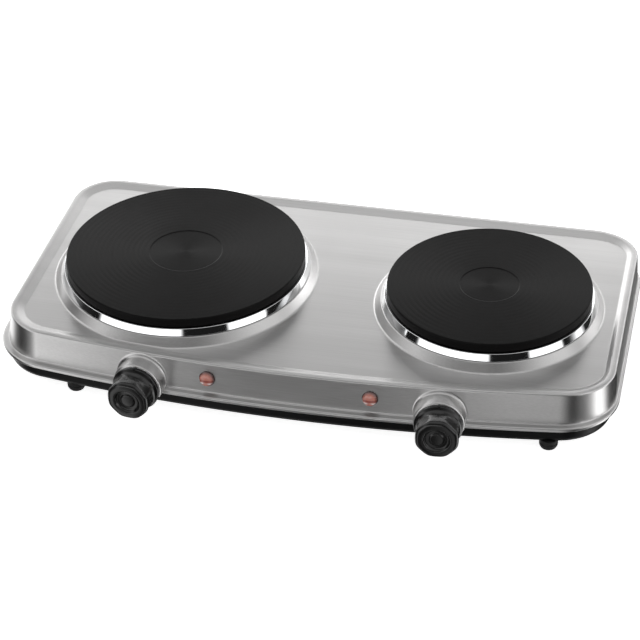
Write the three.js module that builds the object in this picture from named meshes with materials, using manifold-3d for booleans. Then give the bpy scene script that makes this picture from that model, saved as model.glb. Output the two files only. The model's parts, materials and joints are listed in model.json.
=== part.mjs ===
// Two-plate electric hot plate for the table top, as an assembly of its separate pieces.
// Millimetres, +Z up, front towards -Y, origin at the bottom centre of the whole object's box.

import * as THREE from 'three';
import { mergeVertices } from 'three/addons/utils/BufferGeometryUtils.js';
import Module from 'manifold-3d';

const wasm = await Module();
wasm.setup();

// ---------------------------------------------------------------- driving dimensions

// Heights above the table
const PAN_BOTTOM = 8.3;
const PAN_TOP = 21.8;
const FLANGE_BOTTOM = 20.9;
const FLANGE_TOP = 23.8;
const FIELD_TOP = 46.2;
const RIM_TOP = 48.7;
const COLLAR_TOP = 52.7;
const PLATE_SHOULDER = 58.7;
const PLATE_TOP = 65.7;

// Plan of the rim's outer edge: straight back and sides, bowed front
const RIM_HALF_WIDTH = 228;
const RIM_BACK = 116.5;
const RIM_FRONT = 118;
const BOW_RADIUS = 1340;
const FRONT_CORNER_RADIUS = 38;
const BACK_CORNER_RADIUS = 33;

// Section of the pressed housing, as distances outside (+) or inside (-) that rim edge
const SHEET = 1;
const FLANGE_OUT = 8.5;
const WALL_FOOT_OUT = 2.8;
const RIM_ROLL = 2.4;
const RIM_INNER = 4.2;
const FIELD_EDGE = 12;
// On the right the wall and rim stand further out, over a narrower flange
const RIGHT_FOOT_OUT = 5.8;
const RIGHT_RIM_OUT = 4.6;
const RIGHT_FIELD_EDGE = 5.2;
const WALL_BOTTOM = FLANGE_TOP + 1.2;
const WALL_TOP = RIM_TOP - RIM_ROLL;
const WALL_DRAFT = Math.atan(WALL_FOOT_OUT / (WALL_TOP - WALL_BOTTOM));

// Cooking plates, and the heights of what sits under them
const PLATES = [
  { side: 'left', x: -108.5, radius: 92.5 },
  { side: 'right', x: 128.8, radius: 77.5 },
];
const COLLAR_FOOT = 9;
const COLLAR_SHOULDER = 4.2;
const PLATE_SKIRT_BOTTOM = 51.5;
const ELEMENT_Z = 56.2;
const ELEMENT_INNER = 0.42;
const ELEMENT_OUTER = 0.72;
const ELEMENT_TURNS = 1.85;
const COVER_BOTTOM = 49.6;
const CLAMP_BAR_Z = 43.9;
const CLAMP_BAR_WIDTH = 18;
const STUD_BOTTOM = 35.5;
const STUD_TOP = PLATE_TOP - 5.5;
const NUT_BOTTOM = 38;
const SHIELD_TOP = 31;
const SHIELD_INSET = 16;
const BLOCK_SIZE = [30, 13, 9];
const BLOCK_Y = 30;

// Knobs: the axis leans outward, so each knob has its own turned frame
const KNOB_X = 113;
const KNOB_Y = -127.5;
const KNOB_Z = 27.2;
const KNOB_SPLAY = THREE.MathUtils.degToRad(5.5);
const KNOB_SKIRT_RADIUS = 18;
const KNOB_LENGTH = 18.8;
const GRIP_FACETS = 8;
const GRIP_RADIUS = 16;
const GRIP_START = 4;
const WAIST_RADIUS = 14.2;
const DISH_RADIUS = 9;
const DISH_DEPTH = 1.4;
const SWITCH_SIZE = [26, 18, 22];
const SWITCH_BACK = 13.5;
const BOSS_RADIUS = 18.7;
const SHAFT_RADIUS = 3;

// Pilot lenses in the front wall
const LENS_X = 61;
const LENS_Z = 36.2;
const LENS_RADIUS = 6;
const LENS_STEM_RADIUS = 4.6;

// Feet and fixings
const FOOT_RADIUS = 7;
const FOOT_HEIGHT = PAN_BOTTOM - 0.3;
const FEET = [
  { name: 'front_left', x: -169.5, y: -102 },
  { name: 'front_right', x: 189.8, y: -102 },
  { name: 'rear_left', x: -169.5, y: 98 },
  { name: 'rear_right', x: 189.8, y: 98 },
];
const POSTS = [
  { name: 'front_left', x: -206, y: -74 },
  { name: 'front_right', x: 211, y: -66 },
  { name: 'rear_left', x: -206, y: 90 },
  { name: 'rear_right', x: 206, y: 90 },
];
const POST_RADIUS = 4;
const POST_BOTTOM = 10.3;
const PAN_NOTCH = 15.6;
const PAN_FLOOR_TOP = PAN_BOTTOM + 1.2;

// Mains entry at the back, and the leads
const GLAND_X = 20;
const GLAND_Z = 34;
const GLAND_RADIUS = 7;
const CORD_HOLE_RADIUS = 3.7;
const CLAMP_Y = 96;
const CLAMP_SCREW_X = 9.5;
const LEAD_RADIUS = 1.1;

// Vents in the floor of the pan, one row under each plate
const SLOT_COUNT = 7;
const SLOT_PITCH = 14;
const SLOT_WIDTH = 5;
const SLOT_LENGTH = 60;

// Segments of a full turn, by the size of the piece

const ROUND = 36;
const KNOB_ROUND = 28;
const SMALL_ROUND = 16;
const SCREW_ROUND = 10;
const CORNER_SEGMENTS = 6;
const GAP = 0.3;

// ---------------------------------------------------------------- materials

function finish(color, roughness, metalness) {
  return () => new THREE.MeshStandardMaterial({ color, roughness, metalness });
}

const brushedSteel = finish(0xb9b8b6, 0.36, 1);
const chrome = finish(0xe4e6e8, 0.08, 1);
const castIron = finish(0x1c1a1b, 0.6, 0.4);
const blackPaint = finish(0x121213, 0.45, 0.1);
const blackPlastic = finish(0x0d0d0e, 0.22, 0);
const rubber = finish(0x151515, 0.85, 0);
const redLens = finish(0xc8574f, 0.15, 0);
const zincSteel = finish(0xa6a8a5, 0.4, 1);
const ceramic = finish(0xe6dfcf, 0.7, 0);
const elementMetal = finish(0x55504b, 0.55, 0.8);
const lampGlass = finish(0xe8d9c8, 0.05, 0);
const springBrass = finish(0xb08d4f, 0.35, 1);
const aluminiumSheet = finish(0xc9cbcc, 0.3, 1);
const leadBrown = finish(0x5a3423, 0.6, 0);
const leadBlue = finish(0x2b4f8f, 0.6, 0);
const leadGreen = finish(0x4f8f3a, 0.6, 0);

// ---------------------------------------------------------------- solid helpers

function solid(geometry) {
  const bare = geometry.clone();
  bare.deleteAttribute('normal');
  bare.deleteAttribute('uv');
  const welded = mergeVertices(bare, 1e-4);
  const vertProperties = new Float32Array(welded.attributes.position.array);
  const triVerts = new Uint32Array(welded.index.array);
  return new wasm.Manifold(new wasm.Mesh({ numProp: 3, vertProperties, triVerts }));
}

function geometryOf(manifold) {
  const mesh = manifold.getMesh();
  const geometry = new THREE.BufferGeometry();
  geometry.setAttribute('position', new THREE.BufferAttribute(mesh.vertProperties, 3));
  geometry.setIndex(new THREE.BufferAttribute(mesh.triVerts, 1));
  return geometry;
}

function cut(body, ...tools) {
  return tools.reduce((rest, tool) => rest.subtract(tool), body);
}

function join(body, ...others) {
  return others.reduce((whole, other) => whole.add(other), body);
}

// A turned piece about a knob or lens axis, from [radius, distance outward] pairs in either order
function turnedOnAxis(profile, segments = ROUND) {
  const points = profile.map(([radius, distance]) => new THREE.Vector2(radius, distance));
  if (THREE.ShapeUtils.isClockWise(points)) {
    points.reverse();
  }
  return new THREE.LatheGeometry(points, segments);
}

// A turned piece about Z, from [radius, height] pairs in either order
function turned(profile, segments = ROUND) {
  return turnedOnAxis(profile, segments).rotateX(Math.PI / 2);
}

function rod(radius, bottom, top, segments = SMALL_ROUND) {
  return turned([[0, bottom], [radius, bottom], [radius, top], [0, top]], segments);
}

function rodOnAxis(radius, from, to, segments = SMALL_ROUND) {
  return turnedOnAxis([[0, from], [radius, from], [radius, to], [0, to]], segments);
}

function box(width, depth, height, x, y, z) {
  return new THREE.BoxGeometry(width, depth, height).translate(x, y, z);
}

function tubeAlong(points, radius, steps, sides = 8) {
  const section = new THREE.Shape();
  section.absarc(0, 0, radius, 0, 2 * Math.PI);
  const path = new THREE.CatmullRomCurve3(points);
  const settings = { steps, extrudePath: path, curveSegments: sides / 2, bevelEnabled: false };
  return new THREE.ExtrudeGeometry(section, settings);
}

// ---------------------------------------------------------------- plan outline and lofts

function addArc(outline, cx, cy, radius, from, to, segments, skipFirst = false) {
  for (let i = skipFirst ? 1 : 0; i <= segments; i += 1) {
    const angle = from + ((to - from) * i) / segments;
    const nx = Math.cos(angle);
    const ny = Math.sin(angle);
    outline.push({ x: cx + radius * nx, y: cy + radius * ny, nx, ny });
  }
}

// Points and outward normals of the rim's outer edge, anticlockwise from the front left
function rimOutline() {
  const bowCentreY = BOW_RADIUS - RIM_FRONT;
  const frontX = RIM_HALF_WIDTH - FRONT_CORNER_RADIUS;
  const reach = BOW_RADIUS - FRONT_CORNER_RADIUS;
  const frontY = bowCentreY - Math.sqrt(reach ** 2 - frontX ** 2);
  const bowHalf = Math.asin(frontX / reach);
  const backX = RIM_HALF_WIDTH - BACK_CORNER_RADIUS;
  const backY = RIM_BACK - BACK_CORNER_RADIUS;
  const front = -Math.PI / 2;
  const outline = [];
  addArc(outline, 0, bowCentreY, BOW_RADIUS, front - bowHalf, front + bowHalf, 12);
  addArc(outline, frontX, frontY, FRONT_CORNER_RADIUS, front + bowHalf, 0, CORNER_SEGMENTS, true);
  addArc(outline, backX, backY, BACK_CORNER_RADIUS, 0, Math.PI / 2, CORNER_SEGMENTS);
  addArc(outline, -backX, backY, BACK_CORNER_RADIUS, Math.PI / 2, Math.PI, CORNER_SEGMENTS);
  const bowStart = front - bowHalf + 2 * Math.PI;
  addArc(outline, -frontX, frontY, FRONT_CORNER_RADIUS, Math.PI, bowStart, CORNER_SEGMENTS);
  outline.pop();
  return outline;
}

// Closed solid through one ring per [offset, height] pair, capped at both ends.
// A third number is the offset that the ring changes to on the right side.
function loft(profile) {
  const outline = rimOutline();
  const count = outline.length;
  const positions = [];
  for (const [offset, height, rightOffset = offset] of profile) {
    for (const { x, y, nx, ny } of outline) {
      const reach = offset + (rightOffset - offset) * Math.max(0, nx) ** 2;
      positions.push(x + nx * reach, y + ny * reach, height);
    }
  }
  const bottomCentre = positions.length / 3;
  positions.push(0, 0, profile[0][1]);
  positions.push(0, 0, profile[profile.length - 1][1]);
  const index = [];
  const lastRing = (profile.length - 1) * count;
  for (let i = 0; i < count; i += 1) {
    const next = (i + 1) % count;
    for (let ring = 0; ring < lastRing; ring += count) {
      index.push(ring + i, ring + next, ring + count + next);
      index.push(ring + i, ring + count + next, ring + count + i);
    }
    index.push(bottomCentre, next, i);
    index.push(bottomCentre + 1, lastRing + i, lastRing + next);
  }
  const geometry = new THREE.BufferGeometry();
  geometry.setAttribute('position', new THREE.Float32BufferAttribute(positions, 3));
  geometry.setIndex(index);
  return solid(geometry);
}

function frontWallY(x, z) {
  const climb = (z - WALL_BOTTOM) / (WALL_TOP - WALL_BOTTOM);
  const radius = BOW_RADIUS + WALL_FOOT_OUT * (1 - climb);
  return BOW_RADIUS - RIM_FRONT - Math.sqrt(radius ** 2 - x ** 2);
}

// ---------------------------------------------------------------- turned frames on the front

// Frame whose +Y points outward along a fitting's axis and whose +Z stays up
function fittingFrame(x, y, z, splay, tilt = 0) {
  const frame = new THREE.Group();
  frame.position.set(x, y, z);
  frame.rotation.set(tilt, 0, Math.PI + splay, 'ZXY');
  frame.updateMatrix();
  return frame;
}

const SIDES = [
  { side: 'left', sign: -1 },
  { side: 'right', sign: 1 },
];

function knobFrame(sign) {
  return fittingFrame(sign * KNOB_X, KNOB_Y, KNOB_Z, sign * KNOB_SPLAY);
}

function lensFrame(sign) {
  const splay = Math.asin((sign * LENS_X) / BOW_RADIUS);
  return fittingFrame(sign * LENS_X, frontWallY(LENS_X, LENS_Z), LENS_Z, splay, WALL_DRAFT);
}

// ---------------------------------------------------------------- housing and base

function housingOuter() {
  return loft([
    [FLANGE_OUT - 0.8, FLANGE_BOTTOM],
    [FLANGE_OUT, FLANGE_BOTTOM + 1],
    [FLANGE_OUT - 0.5, FLANGE_TOP - 0.6],
    [FLANGE_OUT - 1.6, FLANGE_TOP, FLANGE_OUT - 1],
    [WALL_FOOT_OUT + 1, FLANGE_TOP + 0.2, RIGHT_FOOT_OUT + 0.8],
    [WALL_FOOT_OUT, WALL_BOTTOM, RIGHT_FOOT_OUT],
    [0, WALL_TOP, RIGHT_RIM_OUT],
    [-0.7, RIM_TOP - 0.7, RIGHT_RIM_OUT - 0.7],
    [-RIM_ROLL, RIM_TOP, RIGHT_RIM_OUT - RIM_ROLL],
    [-RIM_INNER, RIM_TOP, RIGHT_RIM_OUT - RIM_INNER],
    [-FIELD_EDGE, FIELD_TOP, -RIGHT_FIELD_EDGE],
  ]);
}

function housingInner() {
  return loft([
    [FLANGE_OUT - 1.8, FLANGE_BOTTOM - 1],
    [FLANGE_OUT - SHEET, FLANGE_BOTTOM + 1],
    [FLANGE_OUT - 2.2, FLANGE_TOP - SHEET, FLANGE_OUT - 1.8],
    [WALL_FOOT_OUT - SHEET, FLANGE_TOP - SHEET + 0.2, RIGHT_FOOT_OUT - SHEET],
    [-SHEET, WALL_TOP, RIGHT_RIM_OUT - SHEET],
    [-RIM_ROLL - 0.3, RIM_TOP - SHEET, RIGHT_RIM_OUT - RIM_ROLL - 0.3],
    [-RIM_INNER, RIM_TOP - SHEET, RIGHT_RIM_OUT - RIM_INNER],
    [-FIELD_EDGE - 0.3, FIELD_TOP - SHEET, -RIGHT_FIELD_EDGE - 0.3],
  ]);
}

function collar(plate) {
  const foot = plate.radius + COLLAR_FOOT;
  const shoulder = plate.radius + COLLAR_SHOULDER;
  const lip = plate.radius - 2.5;
  return solid(turned([
    [foot, FIELD_TOP - 0.1],
    [shoulder, COLLAR_TOP],
    [lip, COLLAR_TOP],
    [lip, COLLAR_TOP - SHEET],
    [shoulder - 0.7, COLLAR_TOP - SHEET],
    [foot - 1.4, FIELD_TOP - 0.9],
    [foot, FIELD_TOP - 0.1],
  ]).translate(plate.x, 0, 0));
}

function onFrame(frame, geometry) {
  return solid(geometry.applyMatrix4(frame.matrix));
}

function topHousing() {
  let body = housingOuter();
  const belowFlange = solid(box(600, 400, 40, 0, 0, FLANGE_BOTTOM - 20));
  for (const { sign } of SIDES) {
    const boss = turnedOnAxis([[0, -20], [BOSS_RADIUS + 0.2, -20], [BOSS_RADIUS, -2.6],
      [BOSS_RADIUS - 0.8, -0.9], [BOSS_RADIUS - 2, -0.5], [0, -0.5]], KNOB_ROUND);
    body = body.add(onFrame(knobFrame(sign), boss).subtract(belowFlange));
  }
  body = body.subtract(housingInner());
  for (const { sign } of SIDES) {
    const hood = rodOnAxis(BOSS_RADIUS - 1.2, -21, -1.8, KNOB_ROUND);
    const bushHole = rodOnAxis(5.3, -4, 2);
    body = cut(body, onFrame(knobFrame(sign), hood), onFrame(knobFrame(sign), bushHole));
    const lensHole = rodOnAxis(LENS_STEM_RADIUS + GAP, -6, 6);
    body = cut(body, onFrame(lensFrame(sign), lensHole));
  }
  for (const plate of PLATES) {
    const opening = rod(plate.radius + COLLAR_FOOT - 0.8, FIELD_TOP - 6, FIELD_TOP + 6, ROUND);
    body = body.subtract(solid(opening.translate(plate.x, 0, 0))).add(collar(plate));
  }
  for (const { x, y } of POSTS) {
    const post = rod(POST_RADIUS, POST_BOTTOM, FIELD_TOP - 0.5).translate(x, y, 0);
    const pilot = rod(1.8, POST_BOTTOM - 1, POST_BOTTOM + 15, SCREW_ROUND).translate(x, y, 0);
    body = body.add(solid(post)).subtract(solid(pilot));
  }
  const glandHole = rod(GLAND_RADIUS + GAP, -20, 20).rotateX(-Math.PI / 2);
  body = body.subtract(solid(glandHole.translate(GLAND_X, RIM_BACK, GLAND_Z)));
  return geometryOf(body);
}

function basePan() {
  const outside = loft([
    [1.2, PAN_BOTTOM],
    [2.8, PAN_BOTTOM + 0.8],
    [3.4, PAN_BOTTOM + 2.4],
    [5.4, PAN_TOP],
  ]);
  const inside = loft([
    [0.8, PAN_FLOOR_TOP],
    [2.2, PAN_FLOOR_TOP + 1.4],
    [4.2, PAN_TOP + 0.3],
  ]);
  let body = outside.subtract(inside);
  for (const { x, y } of POSTS) {
    body = body.subtract(solid(rod(1.9, 0, 20, SCREW_ROUND).translate(x, y, 0)));
  }
  for (const { x, y } of FEET) {
    body = body.subtract(solid(rod(2.4, 0, 20, SCREW_ROUND).translate(x, y, 0)));
  }
  for (const { sign } of SIDES) {
    const screwHole = rod(1.9, 0, 20, SCREW_ROUND);
    const x = GLAND_X + sign * CLAMP_SCREW_X;
    body = body.subtract(solid(screwHole.translate(x, CLAMP_Y, 0)));
    const notch = box(28.6, 30, 20, 0, -12, PAN_NOTCH - KNOB_Z + 10);
    body = body.subtract(onFrame(knobFrame(sign), notch));
  }
  for (const plate of PLATES) {
    for (let i = 0; i < SLOT_COUNT; i += 1) {
      const x = plate.x + (i - (SLOT_COUNT - 1) / 2) * SLOT_PITCH;
      body = body.subtract(solid(box(SLOT_WIDTH, SLOT_LENGTH, 12, x, 0, PAN_BOTTOM)));
    }
  }
  return geometryOf(body);
}

function foot() {
  return turned([[0, 0], [FOOT_RADIUS - 1.6, 0], [FOOT_RADIUS - 0.5, 0.8], [FOOT_RADIUS, 2.4],
    [FOOT_RADIUS, FOOT_HEIGHT], [2, FOOT_HEIGHT], [2, 1.8], [0, 1.8]], SMALL_ROUND);
}

function footScrew() {
  return turned([[0, 2.2], [1.6, 2.2], [1.6, PAN_FLOOR_TOP + GAP], [3.6, PAN_FLOOR_TOP + GAP],
    [3.2, PAN_FLOOR_TOP + 2.4], [0, PAN_FLOOR_TOP + 2.6]], SCREW_ROUND);
}

function baseScrew() {
  const head = PAN_BOTTOM - GAP;
  return turned([[0, head - 2], [2.6, head - 1.9], [3.4, head - 1], [3.4, head], [1.45, head],
    [1.45, POST_BOTTOM + 12], [0, POST_BOTTOM + 13.5]], SCREW_ROUND);
}

// ---------------------------------------------------------------- cooking plates

function cookingPlate({ radius }) {
  return turned([
    [0, PLATE_TOP], [radius - 1.2, PLATE_TOP], [radius, PLATE_TOP - 1.2],
    [radius, PLATE_SHOULDER + 0.8], [radius - 0.8, PLATE_SHOULDER],
    [radius - 6, PLATE_SHOULDER], [radius - 6, PLATE_SKIRT_BOTTOM], [radius - 9, PLATE_SKIRT_BOTTOM],
    [radius - 10, PLATE_TOP - 5.5], [12, PLATE_TOP - 5.5], [11, PLATE_SKIRT_BOTTOM + 1],
    [3.3, PLATE_SKIRT_BOTTOM + 1], [3.3, PLATE_TOP - 5], [0, PLATE_TOP - 5],
  ]);
}

function trimRing({ radius }) {
  const seat = PLATE_SHOULDER - GAP;
  return turned([
    [radius - 5, seat - 0.8], [radius + 0.9, seat - 0.8], [radius + 3, COLLAR_TOP + GAP],
    [radius + 3.9, COLLAR_TOP + GAP], [radius + 2, seat - 0.5], [radius + 1.5, seat],
    [radius - 5, seat], [radius - 5, seat - 0.8],
  ]);
}

// A point on the element's spiral, along from 0 at the inner end to 1 at the outer end
function elementPoint(radius, along, height) {
  const angle = along * ELEMENT_TURNS * 2 * Math.PI;
  const reach = radius * (ELEMENT_INNER + (ELEMENT_OUTER - ELEMENT_INNER) * along);
  return new THREE.Vector3(reach * Math.cos(angle), reach * Math.sin(angle), height);
}

// An open spiral of sheathed element under the plate, both ends turned down
function heatingElement({ radius }) {
  const stations = 24;
  const points = [elementPoint(radius, 0, ELEMENT_Z - 7), elementPoint(radius, 0, ELEMENT_Z - 3)];
  for (let i = 1; i < stations; i += 1) {
    points.push(elementPoint(radius, i / stations, ELEMENT_Z));
  }
  points.push(elementPoint(radius, 1, ELEMENT_Z - 3), elementPoint(radius, 1, ELEMENT_Z - 7));
  return tubeAlong(points, 2.4, 38, 6);
}

function elementCover({ radius }) {
  const outer = radius - 11;
  const bottom = COVER_BOTTOM;
  const top = COVER_BOTTOM + SHEET;
  let disc = solid(turned([[14, bottom], [outer, bottom], [outer, top], [14, top], [14, bottom]]));
  for (const along of [0, 1]) {
    const { x, y } = elementPoint(radius, along, 0);
    disc = disc.subtract(solid(rod(6, bottom - 2, top + 2).translate(x, y, 0)));
  }
  return geometryOf(disc);
}

function clampBar({ radius }) {
  const length = 2 * (radius + 13);
  const bar = solid(box(length, CLAMP_BAR_WIDTH, 2, 0, 0, CLAMP_BAR_Z));
  const rib = solid(box(length - 30, 2, 4, 0, 0, CLAMP_BAR_Z - 2.4));
  const nutSeat = solid(rod(8, NUT_BOTTOM, CLAMP_BAR_Z - 1, SMALL_ROUND));
  const stiffened = bar.add(rib).subtract(nutSeat);
  return geometryOf(stiffened.subtract(solid(rod(3.4, 30, 50, SMALL_ROUND))));
}

function centreStud() {
  return rod(SHAFT_RADIUS, STUD_BOTTOM, STUD_TOP);
}

function hexNut(across, thickness, hole) {
  const nut = new THREE.Shape();
  nut.moveTo(across, 0);
  for (let i = 1; i < 6; i += 1) {
    const angle = (i * Math.PI) / 3;
    nut.lineTo(across * Math.cos(angle), across * Math.sin(angle));
  }
  nut.closePath();
  const ring = new THREE.Path();
  ring.absarc(0, 0, hole, 0, 2 * Math.PI, true);
  nut.holes.push(ring);
  return new THREE.ExtrudeGeometry(nut, { depth: thickness, bevelEnabled: false, curveSegments: 8 });
}

function terminalBlock() {
  const block = solid(box(...BLOCK_SIZE, 0, 0, 0));
  const posts = [-9, 9].map((x) => solid(rod(2.6, -2, 6, SCREW_ROUND).translate(x, 0, 0)));
  return geometryOf(cut(block, ...posts));
}

function heatShield({ radius }) {
  const reach = radius - SHIELD_INSET;
  const top = SHIELD_TOP;
  let shield = solid(turned([[9, top], [reach, top], [reach + 4, top + 3], [reach + 4.6, top + 2.4],
    [reach + 0.3, top - 0.8], [9, top - 0.8], [9, top]], KNOB_ROUND));
  for (const angle of [30, 150, 270]) {
    const turn = THREE.MathUtils.degToRad(angle);
    const x = (reach - 12) * Math.cos(turn);
    const y = (reach - 12) * Math.sin(turn);
    shield = shield.add(solid(rod(3, PAN_FLOOR_TOP + GAP, top - 0.4, SCREW_ROUND).translate(x, y, 0)));
  }
  return geometryOf(shield);
}

// ---------------------------------------------------------------- controls

function thermostat() {
  const housingBlock = solid(box(...SWITCH_SIZE, 0, -SWITCH_BACK, 0));
  const bush = solid(rodOnAxis(5, -6, 3));
  const bore = solid(rodOnAxis(SHAFT_RADIUS + 0.2, -30, 5));
  const blades = [-8, 8].map((x) => solid(box(6, 6, 1.2, x, -24, 7)));
  return geometryOf(join(housingBlock, bush, ...blades).subtract(bore));
}

function controlShaft() {
  const shaft = solid(rodOnAxis(SHAFT_RADIUS, -20, 13.6));
  return geometryOf(shaft.subtract(solid(box(8, 10, 2, 0, 9.6, 3))));
}

function bushNut() {
  return hexNut(8, 2.2, 5.25).rotateX(-Math.PI / 2).translate(0, 0.2, 0);
}

function knob() {
  const flare = solid(turnedOnAxis([
    [0, GRIP_START + 5], [WAIST_RADIUS, GRIP_START + 5], [WAIST_RADIUS, GRIP_START + 1.6],
    [WAIST_RADIUS + 1, GRIP_START], [KNOB_SKIRT_RADIUS - 0.8, 2.6], [KNOB_SKIRT_RADIUS, 1.2],
    [KNOB_SKIRT_RADIUS, 0], [0, 0],
  ], KNOB_ROUND));
  const grip = solid(turnedOnAxis([
    [0, GRIP_START], [WAIST_RADIUS + 0.5, GRIP_START], [WAIST_RADIUS + 1, GRIP_START + 4.5],
    [GRIP_RADIUS, GRIP_START + 10.5], [GRIP_RADIUS, KNOB_LENGTH - 2.6],
    [GRIP_RADIUS - 0.8, KNOB_LENGTH - 0.9], [GRIP_RADIUS - 2.6, KNOB_LENGTH], [0, KNOB_LENGTH],
  ], GRIP_FACETS).rotateY(Math.PI / GRIP_FACETS));
  const dish = solid(turnedOnAxis([
    [0, KNOB_LENGTH + 1], [DISH_RADIUS + 4, KNOB_LENGTH + 1], [DISH_RADIUS + 3.3, KNOB_LENGTH],
    [DISH_RADIUS, KNOB_LENGTH - DISH_DEPTH], [0, KNOB_LENGTH - DISH_DEPTH],
  ], KNOB_ROUND));
  const hollow = solid(rodOnAxis(10, -1, 5));
  const bore = solid(rodOnAxis(SHAFT_RADIUS + GAP, 3, 14));
  const flat = solid(box(8, 8, 2, 0, 10.5, 3.35));
  const pointer = solid(box(2.2, 2.4, 2.2, 0, 1.4, KNOB_SKIRT_RADIUS + 0.2));
  return geometryOf(cut(join(flare, grip), dish, hollow, bore.subtract(flat)).add(pointer));
}

function pilotLens() {
  return turnedOnAxis([
    [3.2, -9], [LENS_STEM_RADIUS, -9], [LENS_STEM_RADIUS, GAP], [LENS_RADIUS, GAP],
    [LENS_RADIUS, 1.2], [5, 3.2], [3, 4.5], [0, 5], [0, 2], [3.2, 1.2], [3.2, -9],
  ], SMALL_ROUND);
}

function neonLamp() {
  return turnedOnAxis([[0, -14], [2.6, -14], [2.6, -1], [1.8, 0.3], [0, 0.9]], 14);
}

function lensClip() {
  return turnedOnAxis([[4.9, -5], [7.5, -5], [7.5, -4], [4.9, -4], [4.9, -5]], 20);
}

// ---------------------------------------------------------------- mains entry and leads

function cordGland() {
  const body = turned([
    [CORD_HOLE_RADIUS, -12], [GLAND_RADIUS - 1, -12], [GLAND_RADIUS, -10], [GLAND_RADIUS, 2.2],
    [GLAND_RADIUS + 2.4, 2.2], [GLAND_RADIUS + 2.4, 3.6], [GLAND_RADIUS, 4.4],
    [GLAND_RADIUS - 1.6, 6.6], [CORD_HOLE_RADIUS, 6.6], [CORD_HOLE_RADIUS, -12],
  ], 16);
  return body.rotateX(-Math.PI / 2);
}

function mainsTerminal() {
  const block = solid(box(34, 16, 14, 0, 0, 0));
  const wells = [-11, 0, 11].map((x) => solid(rod(3, 0, 8, SCREW_ROUND).translate(x, 0, 0)));
  return geometryOf(cut(block, ...wells));
}

function cordClamp() {
  const bridge = solid(box(26, 8, 5, 0, 0, 0));
  const groove = rod(CORD_HOLE_RADIUS, -10, 10).rotateX(Math.PI / 2).translate(0, 0, -3);
  const holes = [-CLAMP_SCREW_X, CLAMP_SCREW_X].map((x) => solid(
    rod(1.7, -6, 6, SCREW_ROUND).translate(x, 0, 0),
  ));
  return geometryOf(cut(bridge, solid(groove), ...holes));
}

function clampScrew() {
  return turned([[0, -5], [1.4, -5], [1.4, 2.8], [3, 2.8], [2.6, 4.6], [0, 4.8]], SCREW_ROUND);
}

function earthTab() {
  const tab = solid(box(10, 8, 1, 0, 0, 0));
  return geometryOf(tab.subtract(solid(rod(1.6, -3, 3, SCREW_ROUND).translate(-1.5, 0, 0))));
}

// An insulated lead along its route of [x, y, z] points
function lead(route) {
  const points = route.map(([x, y, z]) => new THREE.Vector3(x, y, z));
  return tubeAlong(points, LEAD_RADIUS, 16, 6);
}

const LIVE_ROUTES = {
  left: [[9, 61.5, 15], [7, 52, 14], [-50, -20, 14], [-88, -74, 15], [-101, -94, 26], [-102.4, -99, 32]],
  right: [[31, 61.5, 15], [33, 52, 14], [62, -20, 14], [88, -74, 15], [101, -94, 26], [102.4, -99, 32]],
};
const SWITCHED_ROUTES = {
  left: [[-118.4, -98.6, 34.2], [-125, -88, 38], [-133, -40, 36], [-133, 10, 36], [-117.5, 22.8, 36]],
  right: [[118.4, -98.6, 34.2], [124, -80, 38], [149, -40, 36], [149, 10, 36], [137.8, 22.8, 36]],
};
const NEUTRAL_ROUTES = {
  left: [[-117.5, 37.3, 36], [-109, 66, 40], [-76, 90, 36], [-30, 88, 18], [9, 79.2, 15]],
  right: [[137.8, 37.3, 36], [126, 52, 40], [98, 82, 35], [62, 88, 18], [31, 79.2, 15]],
};
const EARTH_ROUTE = [[20, 61.5, 15], [16, 50, 12.5], [-6, 62, 12], [-12, 91.2, 11]];

// ---------------------------------------------------------------- assembly

const model = new THREE.Group();

function addPart(name, geometry, material, parent = model) {
  const mesh = new THREE.Mesh(geometry, material());
  mesh.name = name;
  parent.add(mesh);
  return mesh;
}

function addCookingZone(plate) {
  const zone = new THREE.Group();
  zone.position.x = plate.x;
  model.add(zone);
  addPart(`cooking_plate_${plate.side}`, cookingPlate(plate), castIron, zone);
  addPart(`trim_ring_${plate.side}`, trimRing(plate), chrome, zone);
  addPart(`heating_element_${plate.side}`, heatingElement(plate), elementMetal, zone);
  addPart(`element_cover_${plate.side}`, elementCover(plate), zincSteel, zone);
  addPart(`clamp_bar_${plate.side}`, clampBar(plate), zincSteel, zone);
  addPart(`centre_stud_${plate.side}`, centreStud(), zincSteel, zone);
  const nut = addPart(`stud_nut_${plate.side}`, hexNut(6.2, 4.6, 3.3), zincSteel, zone);
  nut.position.z = NUT_BOTTOM;
  addPart(`heat_shield_${plate.side}`, heatShield(plate), aluminiumSheet, zone);
  const block = addPart(`terminal_block_${plate.side}`, terminalBlock(), ceramic, zone);
  block.position.set(0, BLOCK_Y, SHIELD_TOP + GAP + BLOCK_SIZE[2] / 2);
}

function addControl({ side, sign }) {
  const frame = knobFrame(sign);
  model.add(frame);
  addPart(`thermostat_${side}`, thermostat(), ceramic, frame);
  addPart(`bush_nut_${side}`, bushNut(), zincSteel, frame);
  addPart(`control_shaft_${side}`, controlShaft(), zincSteel, frame);
  addPart(`knob_${side}`, knob(), blackPlastic, frame).position.y = 0.3;
}

function addPilot({ side, sign }) {
  const frame = lensFrame(sign);
  model.add(frame);
  addPart(`pilot_lens_${side}`, pilotLens(), redLens, frame);
  addPart(`neon_lamp_${side}`, neonLamp(), lampGlass, frame);
  addPart(`lens_clip_${side}`, lensClip(), springBrass, frame);
}

function addFeetAndScrews() {
  for (const { name, x, y } of FEET) {
    addPart(`foot_${name}`, foot(), rubber).position.set(x, y, 0);
    addPart(`foot_screw_${name}`, footScrew(), zincSteel).position.set(x, y, 0);
  }
  for (const { name, x, y } of POSTS) {
    addPart(`base_screw_${name}`, baseScrew(), zincSteel).position.set(x, y, 0);
  }
}

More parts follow.
